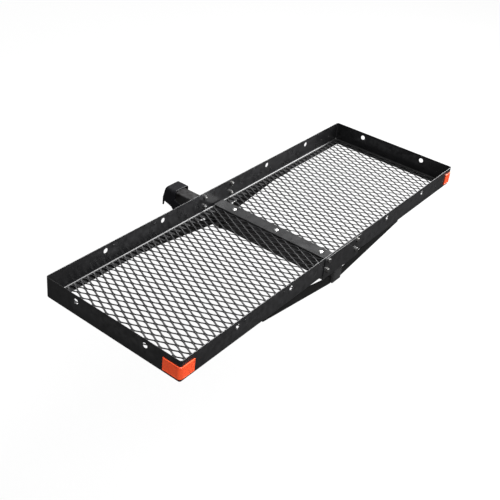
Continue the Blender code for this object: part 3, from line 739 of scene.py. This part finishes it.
def make_fasteners():
    for wall_name, _, outward in LONG_WALLS:
        for number in range(1, SPLICE_BOLTS + 1):
            make_bolt(f"{wall_name}_splice_bolt_{number}", Y, -outward, M8)
            make_nut(f"{wall_name}_splice_nut_{number}", Y, M8)
        make_bolt(wall_name + "_strut_bolt", X, 1, M10)
        make_nut(wall_name + "_strut_nut", X, M10)
    for number in range(1, FLOOR_BOLTS + 1):
        make_bolt(f"floor_bolt_{number}", Z, -1, M8, style="dome", finish="zinc")
        make_nut(f"floor_nut_{number}", Z, M8)
    make_bolt("pivot_bolt", X, 1, M12, body=HITCH_BODY)
    make_nut("pivot_nut", X, M12, body=HITCH_BODY)


def make_rivets():
    """Painted rivet heads on both faces of the long walls, a pair at each place."""
    head = dome(RIVET_RADIUS, RIVET_HEIGHT, lowest=6, steps=9)
    shank = RIVET_RADIUS * 0.45
    rings = head + [circle(RIVET_RADIUS, 0.0), circle(shank, 0.0), circle(shank, -RIVET_ROOT)]
    for wall_name, wall_y, outward in LONG_WALLS:
        for number, (x, height) in enumerate(RIVET_PLACES, start=1):
            bm = bmesh.new()
            for face_y, facing in ((wall_y, outward), (wall_y - outward * SHEET, -outward)):
                seat = Vector((x, face_y, BASE_Z + height))
                add_rings(bm, rings, Matrix.Translation(seat) @ turn_to((0, facing, 0)))
            piece = bare_object(f"{wall_name}_rivet_{number}", bm)
            dress(piece, "frame_paint", TRAY_BODY, smooth_angle=50)


# ---------------------------------------------------------------- plates and tube
def make_splice_plates():
    for wall_name, _, _ in LONG_WALLS:
        node = wall_name + "_splice_plate"
        low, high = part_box(node)
        middle = (low + high) / 2
        outline = rounded_rectangle((high.x - low.x) / 2, (high.z - low.z) / 2, SPLICE_CORNER, 6,
                                    (middle.x, middle.z))
        bm = bmesh.new()
        add_plate(bm, outline, high.y - low.y, facing_y(middle.y))
        dress(bare_object(node + "_pressed", bm), "frame_paint", TRAY_BODY, [node],
              edge=0.0007, segments=3)


def square_ring(half, radius, y):
    """A round-cornered square ring about the tube's centre line."""
    return [(x, y, z) for x, z in rounded_rectangle(half, half, radius, 8)]


def make_hitch_tube():
    """Square tube with rolled corners and an open end toward the bracket."""
    low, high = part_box("hitch_tube")
    outer = high.x
    inner = outer - TUBE_WALL
    bore_corner = TUBE_CORNER - TUBE_WALL
    rings = [square_ring(inner, bore_corner, low.y),
             square_ring(outer - TUBE_LIP, TUBE_CORNER, low.y),
             square_ring(outer, TUBE_CORNER, low.y + TUBE_LIP),
             square_ring(outer, TUBE_CORNER, high.y - TUBE_LIP),
             square_ring(outer - TUBE_LIP, TUBE_CORNER, high.y),
             square_ring(inner, bore_corner, high.y)]
    bm = bmesh.new()
    add_rings(bm, rings, closed_loop=True)
    dress(bare_object("hitch_tube_rolled", bm), "tube_paint", TRAY_BODY, ["hitch_tube"],
          smooth_angle=50)


def make_tube_cap():
    """Plastic plug with a crowned square face and ribs that grip the tube's bore."""
    low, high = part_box("tube_end_cap")
    outer = high.x
    back = low.y + CAP_FLANGE
    rings = [square_ring(outer * share, TUBE_CORNER * share, low.y + drop)
             for share, drop in CAP_CROWN]
    rings.append(square_ring(outer, TUBE_CORNER, back))
    plug = outer - TUBE_WALL - 2 * GAP
    for rib in range(CAP_RIBS):
        start = back + (high.y - back) * rib / CAP_RIBS
        end = back + (high.y - back) * (rib + 1) / CAP_RIBS
        rings.append(square_ring(plug - CAP_RIB_DEPTH, PLUG_CORNER, start))
        rings.append(square_ring(plug, PLUG_CORNER, (start + end) / 2))
    rings.append(square_ring(plug - CAP_NOSE, PLUG_CORNER, high.y))
    bm = bmesh.new()
    add_rings(bm, rings)
    dress(bare_object("tube_end_cap_moulded", bm), "cap_plastic", TRAY_BODY, ["tube_end_cap"],
          smooth_angle=30)


# ---------------------------------------------------------------- reflectors
def lens_stations(length):
    """Places along a leg or up a lens as (place, what the face does there)."""
    start, end = LENS_BORDER + LENS_STEP, length - LENS_BORDER - LENS_STEP
    count = 2 * round((end - start) / PRISM_PITCH)
    cells = [(start + (end - start) * index / count, "peak" if index % 2 else "valley")
             for index in range(count + 1)]
    return ([(0.0, "edge"), (LENS_CHAMFER, "rim"), (LENS_BORDER, "rim")] + cells
            + [(length - LENS_BORDER, "rim"), (length - LENS_CHAMFER, "rim"), (length, "edge")])


def lens_depth(along, up, thickness):
    """Height of the lens face over its back, from what each direction does there."""
    if "edge" in (along, up):
        return thickness - LENS_CHAMFER
    if "rim" in (along, up):
        return thickness
    peak = PRISM_HEIGHT if along == up == "peak" else 0.0
    return thickness - LENS_RECESS + peak


def lens_plan(node, side):
    """Plan of the lens's back as (x, y, outward x, outward y, what the face does there)."""
    low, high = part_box(node)
    corner_x, corner_y = HALF_LENGTH + GAP, REAR_Y - GAP
    end_x = low.x if side > 0 else -high.x
    centre_x, centre_y = HALF_LENGTH - CORNER_RADIUS, REAR_Y + CORNER_RADIUS
    rear_leg = lens_stations(centre_x - end_x)
    end_leg = lens_stations(high.y - centre_y)
    rear_leg[-1] = (rear_leg[-1][0], "rim")      # the rim goes on round the corner
    end_leg[0] = (end_leg[0][0], "rim")
    plan = [(end_x + place, corner_y, 0.0, -1.0, does) for place, does in rear_leg]
    for angle in LENS_TURNS:
        out_x, out_y = math.cos(math.radians(angle)), math.sin(math.radians(angle))
        reach = CORNER_RADIUS + GAP
        plan.append((centre_x + reach * out_x, centre_y + reach * out_y, out_x, out_y, "rim"))
    return plan + [(corner_x, centre_y + place, 1.0, 0.0, does) for place, does in end_leg]


def make_reflector(side_name, side):
    """Prism-faced lens with a plain rim, wrapped round the rear corner."""
    node = side_name + "_reflector"
    low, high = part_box(node)
    thickness = (high.x if side > 0 else -low.x) - HALF_LENGTH - GAP
    plan = lens_plan(node, side)
    ups = [(low.z + place, does) for place, does in lens_stations(high.z - low.z)]
    bm = bmesh.new()
    fronts = []
    backs = []
    for x, y, out_x, out_y, along in plan:
        front = []
        back = []
        for z, up in ups:
            depth = lens_depth(along, up, thickness)
            front.append(bm.verts.new((side * (x + out_x * depth), y + out_y * depth, z)))
            back.append(bm.verts.new((side * x, y, z)))
        fronts.append(front)
        backs.append(back)
    for rows in (fronts, backs):
        for here, there in zip(rows, rows[1:]):
            for index in range(len(here) - 1):
                bm.faces.new((here[index], here[index + 1], there[index + 1], there[index]))
    for end in (0, -1):
        for index in range(len(ups) - 1):
            bm.faces.new((fronts[end][index], fronts[end][index + 1],
                          backs[end][index + 1], backs[end][index]))
        for index in range(len(plan) - 1):
            bm.faces.new((fronts[index][end], fronts[index + 1][end],
                          backs[index + 1][end], backs[index][end]))
    piece = bare_object(side_name + "_reflector_lens", bm)
    dress(piece, "reflector_amber", TRAY_BODY, [node], smooth_angle=12)


# ---------------------------------------------------------------- fold bracket
def bracket_section(width, top):
    """End view of the channel as (x, z), open side down."""
    outer, inner = width / 2, width / 2 - BRACKET_SHEET
    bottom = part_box("fold_bracket")[0].z - OVERCUT
    centre = (outer - BRACKET_BEND, top - BRACKET_BEND)
    outside = [(outer, bottom)] + arc(centre, BRACKET_BEND, 0, 90, 12)
    inside = [(inner, bottom)] + arc(centre, BRACKET_BEND - BRACKET_SHEET, 0, 90, 12)
    left_outside = [(-x, z) for x, z in reversed(outside)]
    left_inside = [(-x, z) for x, z in inside]
    return outside + left_outside + left_inside + inside[::-1]


def bracket_side_view(pivot, top):
    """Side view of the bracket as (y, z): cheek over the tube's end, ears and pivot lug."""
    lug = arc((pivot.y, pivot.z), LUG_RADIUS, LUG_START, 270, 24)
    web = [(WEB_END, top), (WEB_END, CHEEK_SHOULDER)]
    return web + lug + list(CHEEK_FOOT) + list(EAR) + [(0.0, top)]


def make_fold_bracket():
    """The bent channel is the overlap of its end view and its side view."""
    low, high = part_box("fold_bracket")
    bolt_low, bolt_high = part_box("pivot_bolt")
    pivot = (bolt_low + bolt_high) / 2
    width = high.x - low.x
    bm = bmesh.new()
    add_plate(bm, bracket_section(width, high.z), BLANK_LENGTH, facing_y(pivot.y / 2))
    bracket = bare_object("fold_bracket_bent", bm)
    side_view = bmesh.new()
    add_plate(side_view, bracket_side_view(pivot, high.z), width * 2, facing_x(0.0))
    combine(bracket, bare_object("side_view", side_view), "INTERSECT")
    bore = bmesh.new()
    add_drill(bore, (0, pivot.y, pivot.z), (1, 0, 0), PIVOT_BORE, width * 2)
    combine(bracket, bare_object("bore", bore))
    dress(bracket, "bracket_paint", HITCH_BODY, ["fold_bracket"], edge=0.0018, segments=4)


def make_pivot_sleeve():
    """Turned sleeve on the tube, with chamfered ends."""
    low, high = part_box("pivot_sleeve")
    middle = (low + high) / 2
    radius, half = (high.y - low.y) / 2, (high.x - low.x) / 2
    chamfer = 0.0008
    rings = [circle(PIVOT_BORE, -half), circle(radius - chamfer, -half),
             circle(radius, chamfer - half), circle(radius, half - chamfer),
             circle(radius - chamfer, half), circle(PIVOT_BORE, half)]
    bm = bmesh.new()
    add_rings(bm, rings, Matrix.Translation(middle) @ turn_to((1, 0, 0)), closed_loop=True)
    dress(bare_object("pivot_sleeve_turned", bm), "tube_paint", TRAY_BODY, ["pivot_sleeve"])


# ---------------------------------------------------------------- weld beads
def add_weld(bm, start, end, radius):
    """A rippled bead from start to end."""
    start, end = Vector(start), Vector(end)
    length = (end - start).length
    ripple = radius * WELD_RIPPLE
    count = round(length / (ripple / 4))
    rings = []
    for step in range(count + 1):
        along = length * step / count
        taper = min(1.0, (min(along, length - along) + radius * 0.25) / radius) ** 0.5
        wave = abs(math.sin(math.pi * along / ripple))
        size = radius * taper * (1.0 - RIPPLE_DEPTH + RIPPLE_DEPTH * wave)
        turns = [2 * math.pi * index / WELD_FACETS for index in range(WELD_FACETS)]
        rings.append([(size * math.cos(t), size * math.sin(t), along) for t in turns])
    add_rings(bm, rings, Matrix.Translation(start) @ turn_to((end - start).normalized()))


def make_sleeve_welds():
    """A bead along each side of the sleeve, in the corner under the tube."""
    low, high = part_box("pivot_sleeve")
    middle_y = (low.y + high.y) / 2
    from_middle = 0.0085
    reach = high.x - 0.006
    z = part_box("hitch_tube")[0].z - 0.0022
    bm = bmesh.new()
    for y in (middle_y - from_middle, middle_y + from_middle):
        add_weld(bm, (-reach, y, z), (reach, y, z), SLEEVE_WELD)
    dress(bare_object("sleeve_welds", bm), "tube_paint", TRAY_BODY, smooth_angle=60)


def make_plate_welds():
    """An upright bead on each side, in the corner of the bracket's cheek and the hitch plate."""
    low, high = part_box("hitch_plate")
    from_edge = 0.0008
    y = low.y - 0.0004
    bottom, top = low.z + 0.002, high.z - 0.009
    bm = bmesh.new()
    for side in (-1, 1):
        x = side * (high.x - from_edge)
        add_weld(bm, (x, y, bottom), (x, y, top), PLATE_WELD)
    dress(bare_object("hitch_plate_welds", bm), "bracket_paint", HITCH_BODY, smooth_angle=60)


# ---------------------------------------------------------------- stage
def make_floor():
    """A plain pale floor. It glows, so it reads white without strong light on the black carrier,
    and reflections and bounced light don't see it, so the paint stays black."""
    bm = bmesh.new()
    bmesh.ops.create_grid(bm, x_segments=1, y_segments=1, size=FLOOR_HALF)
    floor = bare_object("studio_floor", bm)
    floor.location = (0.0, TRAY_MIDDLE.y, FLOOR_Z)
    nodes = Nodes("studio_floor")
    cloud = nodes.to_range(nodes.noise(scale=0.8), 0.0, 1.0)
    colour = nodes.mix(cloud, (0.020, 0.020, 0.020), (0.022, 0.022, 0.022))
    nodes.shade(colour=colour, roughness=0.9, glow=BACKDROP)
    nodes.shader.inputs["Emission Color"].default_value = grey(1.0)
    floor.data.materials.append(nodes.material)
    floor.visible_glossy = False
    floor.visible_diffuse = False


def add_softbox(name, place, target, size, power):
    """A rectangular area light; its place and target are measured from the tray's middle."""
    light = bpy.data.lights.new(name, "AREA")
    light.shape = "RECTANGLE"
    light.size, light.size_y = size
    light.energy = power
    lamp = bpy.data.objects.new(name, light)
    bpy.context.scene.collection.objects.link(lamp)
    lamp.location = TRAY_MIDDLE + Vector(place)
    toward = TRAY_MIDDLE + Vector(target) - lamp.location
    lamp.rotation_euler = toward.to_track_quat("-Z", "Y").to_euler()
    lamp.visible_camera = False


def make_world():
    """A white backdrop for the camera; reflections see a sky that is palest overhead."""
    world = bpy.data.worlds.new("studio")
    bpy.context.scene.world = world
    world.use_nodes = True
    tree = world.node_tree
    backdrop = tree.nodes["Background"]
    backdrop.inputs["Color"].default_value = grey(BACKDROP)
    direction = tree.nodes.new("ShaderNodeTexCoord")
    split = tree.nodes.new("ShaderNodeSeparateXYZ")
    tree.links.new(direction.outputs["Generated"], split.inputs["Vector"])
    ramp = tree.nodes.new("ShaderNodeValToRGB")
    tree.links.new(split.outputs["Z"], ramp.inputs["Fac"])
    low, high = ramp.color_ramp.elements
    low.color = grey(SKY_LOW)
    high.color = grey(SKY_HIGH)
    high.position = SKY_RISE
    sky = tree.nodes.new("ShaderNodeBackground")
    tree.links.new(ramp.outputs["Color"], sky.inputs["Color"])
    ray = tree.nodes.new("ShaderNodeLightPath")
    choice = tree.nodes.new("ShaderNodeMixShader")
    tree.links.new(ray.outputs["Is Camera Ray"], choice.inputs["Fac"])
    for shader, socket in zip((sky, backdrop), list(choice.inputs)[1:]):
        tree.links.new(shader.outputs["Background"], socket)
    tree.links.new(choice.outputs["Shader"], tree.nodes["World Output"].inputs["Surface"])


def make_lights():
    add_softbox("rim_strip", place=(2.3, -0.6, 2.2), target=(0.6, 0.0, 0.0), size=(2.0, 3.8),
                power=500)
    add_softbox("key", place=(-1.6, -1.8, 2.4), target=(0.0, 0.0, 0.0), size=(2.0, 2.0),
                power=130)


def make_camera():
    """A three-quarter view from behind the carrier's left corner, rolled a little."""
    data = bpy.data.cameras.new("camera")
    data.sensor_width = CAMERA_SENSOR
    data.lens = CAMERA_LENS
    data.shift_x, data.shift_y = CAMERA_SHIFT
    camera = bpy.data.objects.new("camera", data)
    bpy.context.scene.collection.objects.link(camera)
    level = (CAMERA_AIM - CAMERA_PLACE).to_track_quat("-Z", "Y").to_matrix().to_4x4()
    camera.matrix_world = (Matrix.Translation(TRAY_MIDDLE + CAMERA_PLACE) @ level
                           @ Matrix.Rotation(CAMERA_ROLL, 4, "Z"))
    bpy.context.scene.camera = camera


# ---------------------------------------------------------------- assembly
def make_carrier():
    """Every new piece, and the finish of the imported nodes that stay."""
    for side_name, side in SIDES:
        make_tray_half(side_name, side)
        make_floor_mesh(side_name)
        make_reflector(side_name, side)
    make_rivets()
    make_center_strip()
    make_splice_plates()
    make_fasteners()
    make_hitch_tube()
    make_tube_cap()
    make_fold_bracket()
    make_pivot_sleeve()
    make_sleeve_welds()
    make_plate_welds()
    for wall_name, _, _ in LONG_WALLS:
        for side_name, _ in SIDES:
            # the struts take the darker copy of the black paint, which paints the shade under the
            # tray
            dress_node(f"{wall_name}_{side_name}_strut", "painted_shade_on_struts", 0.0010)
    dress_node("center_rail", "tube_paint", 0.0006)
    dress_node("hitch_plate", "bracket_paint", 0.0006)
    dress_node("stop_pad", "pad_rubber", 0.0012)


make_camera()
make_carrier()
make_floor()
make_world()
make_lights()
bpy.context.scene.view_settings.view_transform = "Standard"

bpy.context.view_layer.update()
